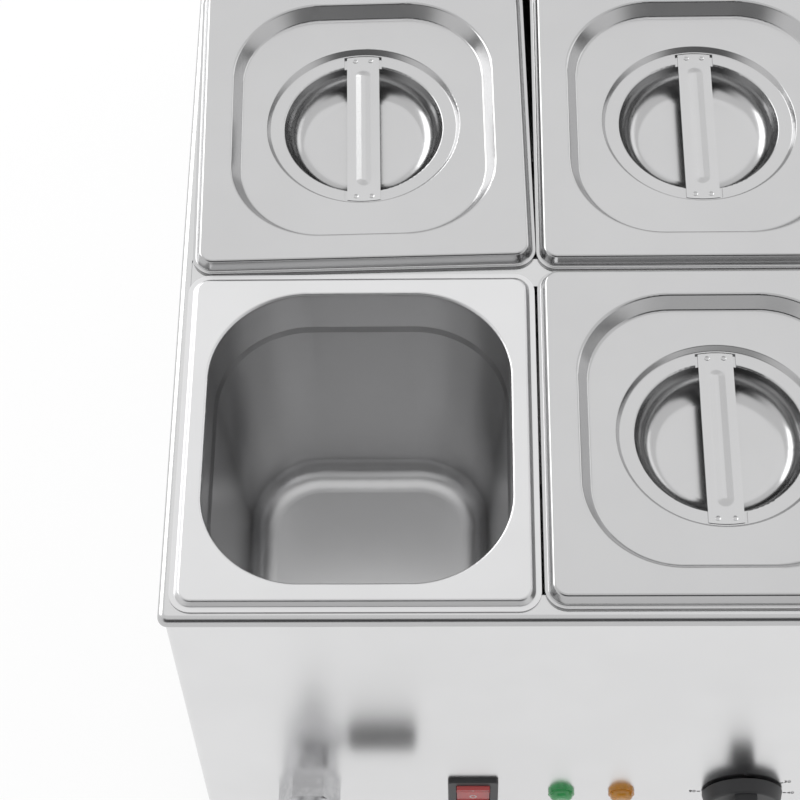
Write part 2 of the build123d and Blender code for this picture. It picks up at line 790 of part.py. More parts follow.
# Drain fitting and the elbow that leads it to the front
drain_low = control_z + drain_bore + hole_ease
elbow_top = (drain_low + bay_top - drain_nut_height) / 2
drain_top = bath_floor + gasket_sheet + drain_flange_height
drain_plane = Plane(origin=(drain_x, drain_y, drain_low))
elbow_plane = Plane(origin=(drain_x, drain_y, control_z))
elbow_front = Plane(origin=(drain_x, drain_y, control_z), x_dir=(1, 0, 0), z_dir=(0, -1, 0))
tail_end = tap_collar_length - case_sheet
tail_length = drain_y - front_y + tail_end
with BuildPart() as drain_fitting:
    rod(Plane(origin=(drain_x, drain_y, drain_top)), drain_flange, -drain_flange_height)
    rod(drain_plane, drain_shank, drain_top - drain_low)
    rod(drain_plane, drain_bore, drain_top - drain_low, Mode.SUBTRACT)
save(drain_fitting.part, "drain_fitting")
with BuildPart() as elbow:
    rod(elbow_plane, elbow_radius, elbow_top - control_z)
    with Locations((drain_x, drain_y, control_z)):
        Sphere(elbow_radius)
    rod(elbow_front, drain_shank, tail_length)
    rod(drain_plane, drain_shank + hole_ease, elbow_top - drain_low, Mode.SUBTRACT)
    rod(elbow_plane, drain_bore, elbow_top - control_z, Mode.SUBTRACT)
    rod(elbow_front, drain_bore, tail_length, Mode.SUBTRACT)
save(elbow.part, "drain_elbow")
with BuildPart() as tap_lock_nut:
    inside_face = drain_face.offset(-case_sheet)
    hex_rod(inside_face, drain_nut_radius, -drain_nut_height)
    rod(inside_face, drain_shank + hole_ease, -drain_nut_height, Mode.SUBTRACT)
save(tap_lock_nut.part, "tap_lock_nut")

# Tap with a ball, a stem and a lever on top
ball_y = front_y - tap_centre
ball_spot = (drain_x, ball_y, control_z)
ball_plane = Plane(origin=ball_spot)
body_end = front_y - tap_collar_length - tap_body_length
spout_x = drain_x
bend_mid_y = body_end - spout_bend * sin(radians(45))
bend_mid_z = control_z - spout_bend * (1 - cos(radians(45)))
spout_y = body_end - spout_bend
with BuildPart() as tap_body:
    hex_rod(drain_face, tap_collar, tap_collar_length)
    rod(drain_face.offset(tap_collar_length), tap_radius, tap_body_length)
    rod(ball_plane, stem_boss, stem_boss_rise)
    with BuildLine() as spout_path:
        Line((spout_x, body_end + spout_radius / 2, control_z), (spout_x, body_end, control_z))
        ThreePointArc(
            (spout_x, body_end, control_z),
            (spout_x, bend_mid_y, bend_mid_z),
            (spout_x, spout_y, control_z - spout_bend),
        )
        spout_end = control_z - spout_bend - spout_drop
        Line((spout_x, spout_y, control_z - spout_bend), (spout_x, spout_y, spout_end))
    tube_along(spout_path.wire(), spout_radius)
    with BuildSketch(Plane(origin=spout_path.wire() @ 0, z_dir=spout_path.wire() % 0)):
        Circle(ball_bore)
    sweep(path=spout_path.wire(), mode=Mode.SUBTRACT)
    rod(drain_face, drain_shank + hole_ease, tail_end + hole_ease, Mode.SUBTRACT)
    rod(drain_face, ball_bore, tap_collar_length + tap_body_length, Mode.SUBTRACT)
    chamber = ball_radius + ball_ease
    rod(drain_face.offset(tap_centre - chamber), chamber, 2 * chamber, Mode.SUBTRACT)
    rod(ball_plane, stem_radius + turning_ease, stem_boss_rise, Mode.SUBTRACT)
save(tap_body.part, "tap_body")
lever_z = control_z + stem_boss_rise + ball_ease
stem_top = lever_z + lever_sheet + stem_rise
with BuildPart() as tap_ball:
    with Locations(ball_spot):
        Sphere(ball_radius)
    across = Plane(origin=ball_spot, z_dir=(1, 0, 0)).offset(-ball_radius)
    rod(across, ball_bore, 2 * ball_radius, Mode.SUBTRACT)
    seat_plane = ball_plane.offset(ball_bore + ball_ease)
    rod(seat_plane, stem_radius, stem_top - control_z - ball_bore - ball_ease)
save(tap_ball.part, "tap_ball")
lever_plane = Plane(origin=(drain_x, ball_y, lever_z))
with BuildPart() as lever:
    with BuildSketch(lever_plane):
        Circle(stem_boss)
        with Locations((lever_length / 2, 0)):
            Rectangle(lever_length, lever_width)
    extrude(amount=lever_sheet)
    fillet(lever.edges().filter_by(Axis.Z).group_by(Axis.X)[-1], lever_width / 4)
    rod(lever_plane, stem_radius + hole_ease, lever_sheet, Mode.SUBTRACT)
save(lever.part, "tap_lever")
with BuildPart() as grip:
    with BuildSketch(lever_plane.offset(-grip_sheet)):
        with Locations((lever_length - grip_length / 2 + grip_sheet, 0)):
            RectangleRounded(grip_length, lever_width + 2 * grip_sheet, lever_width / 3)
    extrude(amount=lever_sheet + 2 * grip_sheet)
    fillet(grip.faces().sort_by(Axis.Z)[0].edges(), grip_sheet / 2)
    fillet(grip.faces().sort_by(Axis.Z)[-1].edges(), grip_sheet / 2)
    add(lever.part, mode=Mode.SUBTRACT)
save(grip.part, "tap_grip")
with BuildPart() as tap_nut:
    hex_rod(lever_plane.offset(lever_sheet), stem_boss, nut_height)
    rod(lever_plane.offset(lever_sheet), stem_radius + hole_ease, nut_height, Mode.SUBTRACT)
save(tap_nut.part, "tap_nut")

# Thermostat with its collar nut, shaft, knob, capillary and bulb
dial_face = Plane(origin=(thermostat_x, front_y, control_z), x_dir=(1, 0, 0), z_dir=(0, -1, 0))
body_face = dial_face.offset(-case_sheet - thermostat_gap)
collar_length = thermostat_gap + case_sheet + collar_reach
knob_face = dial_face.offset(knob_gap)
shaft_length = collar_length + spindle_reach - collar_reach
with BuildPart() as thermostat:
    with BuildSketch(body_face):
        RectangleRounded(thermostat_width, thermostat_height, collar_radius / 2)
    extrude(amount=-thermostat_deep)
    rod(body_face, collar_radius, collar_length)
    rod(body_face, spindle_radius + turning_ease, collar_length, Mode.SUBTRACT)
save(thermostat.part, "thermostat_body")
with BuildPart() as collar_ring:
    hex_rod(dial_face, collar_nut, collar_nut_height)
    rod(dial_face, collar_radius + hole_ease, collar_nut_height, Mode.SUBTRACT)
save(collar_ring.part, "thermostat_nut")
with BuildPart() as spindle:
    rod(body_face.offset(turning_ease), spindle_radius, shaft_length)
save(spindle.part, "thermostat_shaft")
with BuildPart() as knob:
    with BuildSketch(knob_face):
        Circle(knob_radius)
    extrude(amount=knob_skirt, taper=degrees(asin(knob_taper / knob_skirt)))
    fillet(knob.faces().sort_by(Axis.Y)[0].edges(), knob_round)
    with BuildSketch(knob_face):
        Circle(knob_radius - 2 * knob_taper)
        Rectangle(knob_grip, 2 * knob_radius, mode=Mode.INTERSECT)
    extrude(amount=knob_height)
    fillet(knob.faces().sort_by(Axis.Y)[0].edges(), knob_round)
    rod(knob_face, knob_recess, knob_recess_depth, Mode.SUBTRACT)
    rod(knob_face, spindle_radius + hole_ease, spindle_reach, Mode.SUBTRACT)
save(knob.part, "control_knob")
bulb_z = bath_floor + element_clear + bulb_radius
bulb_rear = -rest_y + bulb_length / 2
bulb_front = -rest_y - bulb_length / 2
thermostat_back = front_y + case_sheet + thermostat_gap + thermostat_deep
with BuildPart() as bulb:
    bulb_plane = Plane(origin=(0, bulb_rear, bulb_z), x_dir=(1, 0, 0), z_dir=(0, -1, 0))
    rod(bulb_plane, bulb_radius, bulb_length)
    fillet(bulb.edges().filter_by(GeomType.CIRCLE), bulb_radius / 2)
    with BuildLine() as capillary_path:
        FilletPolyline(
            (0, bulb_front + bulb_radius, bulb_z),
            (0, gland_y, bulb_z),
            (0, gland_y, control_z),
            (thermostat_x, gland_y, control_z),
            (thermostat_x, thermostat_back, control_z),
            radius=capillary_bend,
        )
    tube_along(capillary_path.wire(), capillary_radius)
save(bulb.part, "thermostat_bulb")

# Rocker switch
switch_face = Plane(origin=(switch_x, front_y, control_z), x_dir=(1, 0, 0), z_dir=(0, -1, 0))
pivot_level = bezel_sheet - rocker_pivot
rocker_swing = rocker_radius * sin(radians(rocker_turn))
switch_cavity = rocker_pivot + rocker_back + rocker_swing + rocker_gap
pivot_y = front_y - pivot_level
pivot_x = switch_x - rocker_width / 2
pivot_plane = Plane(origin=(pivot_x, pivot_y, control_z), x_dir=(0, -1, 0), z_dir=(1, 0, 0))
pin_length = rocker_width + 2 * pivot_reach
with BuildPart() as switch_housing:
    with BuildSketch(switch_face):
        RectangleRounded(bezel_width, bezel_height, bezel_sheet)
    extrude(amount=bezel_sheet)
    fillet(switch_housing.faces().sort_by(Axis.Y)[0].edges(), bezel_sheet / 3)
    with BuildSketch(switch_face):
        Rectangle(switch_width, switch_height)
    extrude(amount=-switch_deep)
    with BuildSketch(switch_face.offset(bezel_sheet)):
        Rectangle(rocker_width + 2 * rocker_gap, 2 * (rocker_radius + rocker_gap))
    extrude(amount=-switch_cavity, mode=Mode.SUBTRACT)
    pin_bore = pivot_radius + turning_ease
    pin_room = pin_length + 2 * turning_ease
    rod(pivot_plane.offset(-pivot_reach - turning_ease), pin_bore, pin_room, Mode.SUBTRACT)
save(switch_housing.part, "switch_housing")
with BuildPart() as rocker:
    with BuildSketch(pivot_plane):
        Circle(rocker_radius)
        Polygon(
            (-rocker_back, -rocker_radius),
            (rocker_peak, -rocker_radius),
            (rocker_valley, 0),
            (rocker_peak, rocker_radius),
            (-rocker_back, rocker_radius),
            rotation=rocker_turn,
            align=None,
            mode=Mode.INTERSECT,
        )
    extrude(amount=rocker_width)
    rod(pivot_plane.offset(-pivot_reach), pivot_radius, pin_length)
save(rocker.part, "switch_rocker")

# Signal lamps and their nuts
for lamp_name, lamp_x in lamp_positions.items():
    lamp_face = Plane(origin=(lamp_x, front_y, control_z), x_dir=(1, 0, 0), z_dir=(0, -1, 0))
    with BuildPart() as lamp:
        rod(lamp_face, lamp_radius, lamp_brim)
        rod(lamp_face.offset(lamp_brim), lamp_radius - lamp_brim / 2, lamp_dome)
        fillet(lamp.faces().sort_by(Axis.Y)[0].edges(), lamp_dome * 0.9)
        rod(lamp_face, lamp_shank, -lamp_length)
    save(lamp.part, lamp_name)
with BuildPart() as lamp_nuts:
    inside_face = front_face.offset(-case_sheet)
    hex_rod(inside_face, lamp_nut, -lamp_nut_height, lamp_spots)
    rod(inside_face, lamp_shank + hole_ease, -lamp_nut_height, Mode.SUBTRACT, lamp_spots)
save(lamp_nuts.part, "lamp_nuts")

# Overheat cut-out under the bath
cutout_spot = (leg_half_width, -leg_y - cutout_radius * 5)
with BuildPart() as cutout:
    rod(under_face, cutout_radius, cutout_height, spots=(cutout_spot,))
    rod(under_face, cutout_radius + 2, bath_sheet, spots=(cutout_spot,))
    with BuildSketch(under_face.offset(cutout_height)):
        with Locations(cutout_spot):
            with GridLocations(cutout_radius, 1, 2, 1):
                Rectangle(bath_sheet, cutout_tab)
    extrude(amount=cutout_tab)
save(cutout.part, "overheat_cutout")

# Terminal block, and the gland for the cord in the rear panel
block_y = rear_y - foot_inset - block_length * 2
with BuildPart() as block:
    with Locations((cord_gland_x, block_y, bay_z)):
        Box(block_width, block_length, block_height, align=stand)
    bore_face = Plane(
        origin=(cord_gland_x, block_y - block_length / 2, bay_z + block_height / 2),
        x_dir=(1, 0, 0),
        z_dir=(0, 1, 0),
    )
    block_spots = [(share * block_width, 0) for share in (-0.3, 0, 0.3)]
    rod(bore_face, block_bore, block_length, Mode.SUBTRACT, block_spots)
save(block.part, "terminal_block")
cord_face = Plane(origin=(cord_gland_x, rear_y, control_z), x_dir=(-1, 0, 0), z_dir=(0, 1, 0))
cord_inside = case_sheet + cord_nut_height + cord_collar_length
with BuildPart() as cord_gland:
    hex_rod(cord_face, cord_collar, cord_collar_length)
    rod(cord_face.offset(cord_collar_length), cord_dome, cord_dome_length)
    fillet(cord_gland.faces().sort_by(Axis.Y)[-1].edges(), cord_dome - cord_bore - 1)
    rod(cord_face, cord_shank, -cord_inside)
    whole_gland = cord_inside + gland_reach
    rod(cord_face.offset(-cord_inside), cord_bore, whole_gland, Mode.SUBTRACT)
save(cord_gland.part, "cord_gland")
with BuildPart() as cord_nut:
    hex_rod(cord_face.offset(-case_sheet), cord_collar, -cord_nut_height)
    rod(cord_face.offset(-case_sheet), cord_shank + hole_ease, -cord_nut_height, Mode.SUBTRACT)
save(cord_nut.part, "cord_gland_nut")
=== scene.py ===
"""Looks of a countertop bain marie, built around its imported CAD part."""

import logging
import math
from dataclasses import dataclass, field
from enum import Enum
from typing import Any, Dict, List, Optional, Sequence, Tuple, Union

import bpy
from mathutils import Matrix, Vector


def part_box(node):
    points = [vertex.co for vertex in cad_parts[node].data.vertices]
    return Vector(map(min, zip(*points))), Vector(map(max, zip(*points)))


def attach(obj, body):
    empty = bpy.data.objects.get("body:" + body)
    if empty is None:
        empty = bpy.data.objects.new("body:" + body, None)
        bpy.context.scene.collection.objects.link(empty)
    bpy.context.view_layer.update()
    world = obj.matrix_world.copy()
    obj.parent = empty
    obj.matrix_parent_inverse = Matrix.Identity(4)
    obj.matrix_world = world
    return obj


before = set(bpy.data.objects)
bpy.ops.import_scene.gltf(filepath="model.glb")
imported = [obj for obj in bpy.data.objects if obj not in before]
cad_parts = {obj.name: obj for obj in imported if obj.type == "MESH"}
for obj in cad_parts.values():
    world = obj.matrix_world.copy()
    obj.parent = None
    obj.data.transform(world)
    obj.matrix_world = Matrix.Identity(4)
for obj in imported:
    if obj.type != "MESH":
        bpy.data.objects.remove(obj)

LOG = logging.getLogger("bain_marie")
NOISE_ROUGHNESS = 0.55
MIDDLE = 0.5
UP = Vector((0.0, 0.0, 1.0))
Colour = Tuple[float, float, float]
Number = Union[int, float]


class Value:
    """A node socket that takes part in plain arithmetic."""

    def __init__(self, graph: "Graph", socket: bpy.types.NodeSocket) -> None:
        """Wraps a socket.

        Args:
            graph: The graph that the socket's node belongs to.
            socket: The output socket.
        """
        self.graph = graph
        self.socket = socket

    def maths(self, operation: str, *others: Union["Value", Number]) -> "Value":
        """Applies one maths node.

        Args:
            operation: Blender's name of the operation.
            *others: The operands after this one.

        Returns:
            The result as a value.
        """
        return self.graph.maths(operation, self, *others)

    def __add__(self, other: Union["Value", Number]) -> "Value":
        """Returns self plus other."""
        return self.maths("ADD", other)

    def __radd__(self, other: Number) -> "Value":
        """Returns other plus self."""
        return self.graph.maths("ADD", other, self)

    def __sub__(self, other: Union["Value", Number]) -> "Value":
        """Returns self minus other."""
        return self.maths("SUBTRACT", other)

    def __rsub__(self, other: Number) -> "Value":
        """Returns other minus self."""
        return self.graph.maths("SUBTRACT", other, self)

    def __mul__(self, other: Union["Value", Number]) -> "Value":
        """Returns self times other."""
        return self.maths("MULTIPLY", other)

    def __rmul__(self, other: Number) -> "Value":
        """Returns other times self."""
        return self.graph.maths("MULTIPLY", other, self)

    def ramp(self, low: Number, high: Number, start: Number = 0.0, end: Number = 1.0) -> "Value":
        """Maps a range smoothly onto another one.

        Args:
            low: Input that gives start.
            high: Input that gives end.
            start: Output at and below low.
            end: Output at and above high.

        Returns:
            The mapped value.
        """
        inputs = {"Value": self, "From Min": low, "From Max": high, "To Min": start, "To Max": end}
        return self.graph.node("ShaderNodeMapRange", inputs, interpolation_type="SMOOTHSTEP")


class Graph:
    """The node tree of one material or world."""

    def __init__(self, tree: bpy.types.NodeTree) -> None:
        """Empties a tree and takes it over.

        Args:
            tree: The node tree to fill.
        """
        self.tree = tree
        tree.nodes.clear()

    def put(self, socket: bpy.types.NodeSocket, value: Any) -> None:
        """Links a value to a socket, or sets a constant on it.

        Args:
            socket: The input socket.
            value: A value, a number, a colour or a vector.
        """
        if isinstance(value, Value):
            self.tree.links.new(value.socket, socket)
        elif isinstance(value, (tuple, list)) and len(value) == 3 and socket.type == "RGBA":
            socket.default_value = (*value, 1.0)
        else:
            socket.default_value = value

    def make(self, kind: str, inputs: Optional[Dict[Any, Any]] = None, **settings: Any) -> bpy.types.Node:
        """Makes any node.

        Args:
            kind: Blender's node type.
            inputs: Input sockets by name or number, with their values.
            **settings: Properties of the node, which are set first.

        Returns:
            The node.
        """
        made = self.tree.nodes.new(kind)
        for key, value in settings.items():
            setattr(made, key, value)
        for key, value in (inputs or {}).items():
            self.put(made.inputs[key], value)
        return made

    def node(
        self, kind: str, inputs: Optional[Dict[Any, Any]] = None, out: Any = 0, **settings: Any
    ) -> Value:
        """Makes a node and takes one of its outputs.

        Args:
            kind: Blender's node type.
            inputs: Input sockets by name or number, with their values.
            out: Name or number of the output.
            **settings: Properties of the node.

        Returns:
            The chosen output.
        """
        return Value(self, self.make(kind, inputs, **settings).outputs[out])

    def maths(self, operation: str, *operands: Union[Value, Number]) -> Value:
        """Makes a maths node.

        Args:
            operation: Blender's name of the operation.
            *operands: Values or numbers.

        Returns:
            The result.
        """
        return self.node("ShaderNodeMath", dict(enumerate(operands)), operation=operation)

    def noise(self, scale: Number, stretch: Sequence[float] = (1, 1, 1), detail: Number = 3.0) -> Value:
        """Noise in the object's own space.

        Args:
            scale: Fineness of the noise, per metre.
            stretch: Factor on each axis, so that noise can run in streaks.
            detail: How many finer layers there are.

        Returns:
            The noise, from 0 to 1.
        """
        where = self.node("ShaderNodeTexCoord", out="Object")
        placed = self.node("ShaderNodeMapping", {"Vector": where, "Scale": tuple(stretch)})
        inputs = {"Vector": placed, "Scale": scale, "Detail": detail, "Roughness": NOISE_ROUGHNESS}
        return self.node("ShaderNodeTexNoise", inputs)

    def blend(self, share: Union[Value, Number], first: Any, second: Any) -> Value:
        """Mixes two colours.

        Args:
            share: How much of the second colour there is.
            first: Colour at 0.
            second: Colour at 1.

        Returns:
            The mixed colour.
        """
        return self.node("ShaderNodeMix", {0: share, 6: first, 7: second}, out=2, data_type="RGBA")

    def bump(self, height: Value, depth: float, strength: float) -> Value:
        """A normal that follows a height.

        Args:
            height: The height, from 0 to 1.
            depth: What a height of 1 stands for, in metres.
            strength: Share of the effect.

        Returns:
            The normal.
        """
        return self.node("ShaderNodeBump", {"Height": height, "Distance": depth, "Strength": strength})

    def surface(self, **sockets: Any) -> None:
        """Ends the graph in a Principled shader.

        Args:
            **sockets: Socket names, with underscores for spaces, and their values.
        """
        inputs = {name.replace("_", " "): value for name, value in sockets.items()}
        self.show(self.node("ShaderNodeBsdfPrincipled", inputs))

    def show(self, shader: Value, kind: str = "ShaderNodeOutputMaterial") -> None:
        """Links a shader to the output of the tree.

        Args:
            shader: The shader to show.
            kind: Blender's type of the output node.
        """
        self.make(kind, {"Surface": shader})


class Grain(Enum):
    """Which way the fine lines of a rolled or brushed sheet run."""

    NONE = (1.0, 1.0, 1.0)
    ALONG_X = (0.02, 1.0, 1.0)
    ALONG_Y = (1.0, 0.02, 1.0)


@dataclass(frozen=True)
class Finish:
    """A finish that any piece can wear."""

    name: str

    def paint(self, graph: Graph) -> None:
        """Builds the finish.

        Args:
            graph: Empty graph of the material.
        """
        raise NotImplementedError

    def material(self) -> bpy.types.Material:
        """Makes the material, or finds it if it is there already.

        Returns:
            The material.
        """
        title = f"{self.name}_finish"
        found = bpy.data.materials.get(title)
        if found is not None:
            return found
        made = bpy.data.materials.new(title)
        made.use_nodes = True
        self.paint(Graph(made.node_tree))
        return made


@dataclass(frozen=True)
class Steel(Finish):
    """Satin sheet steel with faint rolling lines and handling marks."""

    tint: Colour = (0.74, 0.74, 0.745)
    roughness: float = 0.2
    spread: float = 0.05
    grain: Grain = Grain.NONE
    grain_depth: float = 1.5e-6
    grain_strength: float = 0.6
    grain_scale: float = 1900.0
    grain_share: float = 0.8
    cloud_scale: float = 22.0
    cloud_range: Tuple[float, float] = (0.3, 0.7)
    shade: float = 0.97

    def paint(self, graph: Graph) -> None:
        """Builds the steel.

        Args:
            graph: Empty graph of the material.
        """
        cloud = graph.noise(self.cloud_scale, detail=4.0)
        lines = graph.noise(self.grain_scale, self.grain.value, detail=2.0)
        line_spread = self.spread * self.grain_share
        rough = self.roughness + (cloud - MIDDLE) * self.spread + (lines - MIDDLE) * line_spread
        dark = tuple(self.shade * c for c in self.tint)
        tone = graph.blend(cloud.ramp(*self.cloud_range), dark, self.tint)
        normal = graph.bump(lines, self.grain_depth, self.grain_strength)
        graph.surface(Base_Color=tone, Metallic=1.0, Roughness=rough, Normal=normal)


@dataclass(frozen=True)
class Metal(Finish):
    """Plain machined or plated metal."""

    tint: Colour = (0.7, 0.7, 0.7)
    roughness: float = 0.25
    spread: float = 0.12
    cloud_scale: float = 140.0
    cloud_range: Tuple[float, float] = (0.35, 0.7)
    shade: float = 0.82

    def paint(self, graph: Graph) -> None:
        """Builds the metal.

        Args:
            graph: Empty graph of the material.
        """
        cloud = graph.noise(self.cloud_scale, detail=3.0)
        rough = self.roughness + (cloud - MIDDLE) * self.spread
        dark = tuple(self.shade * c for c in self.tint)
        tone = graph.blend(cloud.ramp(*self.cloud_range), dark, self.tint)
        graph.surface(Base_Color=tone, Metallic=1.0, Roughness=rough)


@dataclass(frozen=True)
class Plastic(Finish):
    """Moulded plastic or rubber with a fine texture."""

    tint: Colour = (0.03, 0.03, 0.032)
    roughness: float = 0.45
    spread: float = 0.14
    coat: float = 0.0
    coat_roughness: float = 0.08
    texture: float = 2.0e-5
    texture_strength: float = 0.5
    texture_scale: float = 2600.0

    def paint(self, graph: Graph) -> None:
        """Builds the plastic.

        Args:
            graph: Empty graph of the material.
        """
        fine = graph.noise(self.texture_scale, detail=2.0)
        rough = self.roughness + (fine - MIDDLE) * self.spread
        normal = graph.bump(fine, self.texture, self.texture_strength)
        coat = {"Coat_Weight": self.coat, "Coat_Roughness": self.coat_roughness}
        graph.surface(Base_Color=self.tint, Roughness=rough, Normal=normal, **coat)


@dataclass(frozen=True)
class Lens(Finish):
    """Clear coloured plastic of a signal lamp."""

    tint: Colour = (0.1, 0.6, 0.2)
    roughness: float = 0.12
    clearness: float = 0.45
    index: float = 1.49
    coat: float = 0.4

    def paint(self, graph: Graph) -> None:
        """Builds the lens.

        Args:
            graph: Empty graph of the material.
        """
        gloss = {"Roughness": self.roughness, "IOR": self.index, "Coat_Weight": self.coat}
        graph.surface(Base_Color=self.tint, Transmission_Weight=self.clearness, **gloss)


PAN_STEEL = Steel("pan_steel", tint=(0.6, 0.6, 0.604), roughness=0.31)
LID_STEEL = Steel("lid_steel", tint=(0.46, 0.46, 0.463), roughness=0.19)
STRAP_STEEL = Steel("strap_steel", tint=(0.48, 0.48, 0.483), roughness=0.25, grain=Grain.ALONG_Y)
BATH_STEEL = Steel("bath_steel", tint=(0.52, 0.52, 0.523), roughness=0.2)
CASE_STEEL = Steel("case_steel", tint=(0.76, 0.76, 0.765), roughness=0.25, grain=Grain.ALONG_X)
ELEMENT_STEEL = Steel("element_steel", tint=(0.3, 0.28, 0.26), roughness=0.42)
PLATED = Metal("plated_metal", tint=(0.72, 0.72, 0.73), roughness=0.18)
BRASS = Metal("brass", tint=(0.72, 0.53, 0.26), roughness=0.3)
BLACK_PLASTIC = Plastic("black_plastic")
BLACK_RUBBER = Plastic("black_rubber", tint=(0.022, 0.022, 0.022), roughness=0.7, texture=4.0e-5)
GASKET = Plastic("gasket_rubber", tint=(0.3, 0.26, 0.23), roughness=0.6)
PALE_PLASTIC = Plastic("pale_plastic", tint=(0.7, 0.67, 0.6), roughness=0.5)
RED_PLASTIC = Plastic("red_plastic", tint=(0.5, 0.015, 0.015), roughness=0.22, coat=0.4, texture=0.0)
GREEN_LENS = Lens("green_lens", tint=(0.08, 0.6, 0.18))
AMBER_LENS = Lens("amber_lens", tint=(0.95, 0.42, 0.04))
# Dark print for the dial numbers and ticks; the same flat dark bars are also the painted shade in the
# screws' cross drives.
DARK_PRINT_AND_SHADE = Plastic("dark_print_and_shade", tint=(0.02, 0.02, 0.022), roughness=0.5, texture=0.0)
WHITE_PRINT = Plastic("white_print", tint=(0.82, 0.82, 0.8), roughness=0.45, texture=0.0)


def dress(finish: Finish, *names: str) -> None:
    """Puts a finish on CAD nodes.

    Args:
        finish: The finish.
        *names: Names of the nodes.
    """
    for name in names:
        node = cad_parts[name]
        node.data.materials.clear()
        node.data.materials.append(finish.material())


@dataclass
class Assembly:
    """A group of pieces that are dressed together."""

    nodes: Dict[str, Finish] = field(default_factory=dict)

    def build(self) -> None:
        """Adds pieces beyond the CAD ones."""

    def dress(self) -> None:
        """Puts the finishes on the CAD nodes."""
        for name, finish in self.nodes.items():
            dress(finish, name)


def named(prefix: str) -> List[str]:
    """Finds CAD nodes by the start of their names.

    Args:
        prefix: What the names start with.

    Returns:
        The names.
    """
    return [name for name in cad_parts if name.startswith(prefix)]


class Pans(Assembly):
    """Food pans, lids and strap handles."""

    def dress(self) -> None:
        """Puts steel on pans, lids and straps."""
        dress(PAN_STEEL, *named("pan_"))
        dress(LID_STEEL, *named("lid_"))
        dress(STRAP_STEEL, *named("strap_"))


class Shell(Assembly):
    """Water bath, divider bars, casing and feet."""

    def dress(self) -> None:
        """Puts steel on the sheet work and rubber on the feet."""
        dress(BATH_STEEL, "water_bath", "element_rests", *named("divider_bar_"))
        dress(CASE_STEEL, "casing", "rear_panel", "base_tray")
        dress(PLATED, "casing_screws", "foot_screws", "foot_nuts")
        dress(BLACK_RUBBER, *[name for name in named("foot_") if name.count("_") == 2])


@dataclass
class Works(Assembly):
    """Heater, controls, drain and wiring."""

    nodes: Dict[str, Finish] = field(
        default_factory=lambda: {
            "heating_element": ELEMENT_STEEL,
            "element_bushes": BRASS,
            "bulb_gland": BRASS,
            "bath_gaskets": GASKET,
            "bath_nuts": BRASS,
            "drain_fitting": PLATED,
            "drain_elbow": BRASS,
            "tap_lock_nut": BRASS,
            "tap_body": PLATED,
            "tap_ball": PLATED,
            "tap_lever": PLATED,
            "tap_grip": BLACK_PLASTIC,
            "tap_nut": PLATED,
            "thermostat_body": PALE_PLASTIC,
            "thermostat_nut": PLATED,
            "thermostat_shaft": PLATED,
            "control_knob": BLACK_PLASTIC,
            "thermostat_bulb": BRASS,
            "switch_housing": BLACK_PLASTIC,
            "switch_rocker": RED_PLASTIC,
            "power_lamp": GREEN_LENS,
            "heat_lamp": AMBER_LENS,
            "lamp_nuts": BLACK_PLASTIC,
            "overheat_cutout": PALE_PLASTIC,
            "terminal_block": PALE_PLASTIC,
            "cord_gland": BLACK_PLASTIC,
            "cord_gland_nut": BLACK_PLASTIC,
        }
    )


@dataclass(frozen=True)
class Seat:
    """A spot on a surface, with its own directions, that thin marks lie on."""

    origin: Vector
    out: Vector
    up: Vector

    def matrix(self) -> Matrix:
        """Places a mark that was drawn flat, facing Z.

        Returns:
            A matrix with right, up and out as columns, at the seat.
        """
        out = self.out.normalized()
        right = self.up.cross(out).normalized()
        turned = Matrix((right, out.cross(right), out)).transposed()
        return Matrix.Translation(self.origin) @ turned.to_4x4()

    def turned(self, degrees: float) -> "Seat":
        """Turns the seat about its outward direction.

        Args:
            degrees: Angle, clockwise as seen from outside.

        Returns:
            The turned seat.
        """
        turn = Matrix.Rotation(math.radians(-degrees), 3, self.out)
        return Seat(self.origin, self.out, turn @ self.up)

    def moved(self, right: float, up: float) -> "Seat":
        """Shifts the seat along its surface.

        Args:
            right: Distance to the right, in metres.
            up: Distance up, in metres.

        Returns:
            The shifted seat.
        """
        return Seat(self.matrix() @ Vector((right, up, 0.0)), self.out, self.up)


@dataclass(frozen=True)
class Marker:
    """Draws thin marks that ride on one body."""

    body: str
    finish: Finish
    thickness: float = 1.0e-4

    def place(self, piece: bpy.types.Object, seat: Seat) -> None:
        """Puts a mark on its seat and its body.

        Args:
            piece: The mark, drawn flat.
            seat: Where it lies.
        """
        bpy.context.scene.collection.objects.link(piece)
        piece.matrix_world = seat.matrix()
        piece.data.materials.append(self.finish.material())
        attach(piece, self.body)

    def bar(self, name: str, seat: Seat, width: float, height: float) -> None:
        """Draws a bar.

        Args:
            name: Name of the mark.
            seat: Middle of the bar.
            width: Width to the sides, in metres.
            height: Height, in metres.
        """
        w, h, t = width / 2, height / 2, self.thickness
        corners = [(x, y, z) for z in (-t / 2, t) for x, y in ((-w, -h), (w, -h), (w, h), (-w, h))]
        sides = [(k, (k + 1) % 4, (k + 1) % 4 + 4, k + 4) for k in range(4)]
        mesh = bpy.data.meshes.new(name)
        mesh.from_pydata(corners, [], [(3, 2, 1, 0), (4, 5, 6, 7), *sides])
        self.place(bpy.data.objects.new(name, mesh), seat)

    def word(self, name: str, seat: Seat, letters: str, height: float) -> None:
        """Draws a plain number or letter.

        Args:
            name: Name of the mark.
            seat: Middle of the word.
            letters: What it says.
            height: Size of the type, in metres.
        """
        data = bpy.data.curves.new(name, "FONT")
        data.body = letters
        data.size = height
        data.extrude = self.thickness
        data.resolution_u = 4
        data.align_x, data.align_y = "CENTER", "CENTER"
        self.place(bpy.data.objects.new(name, data), seat)


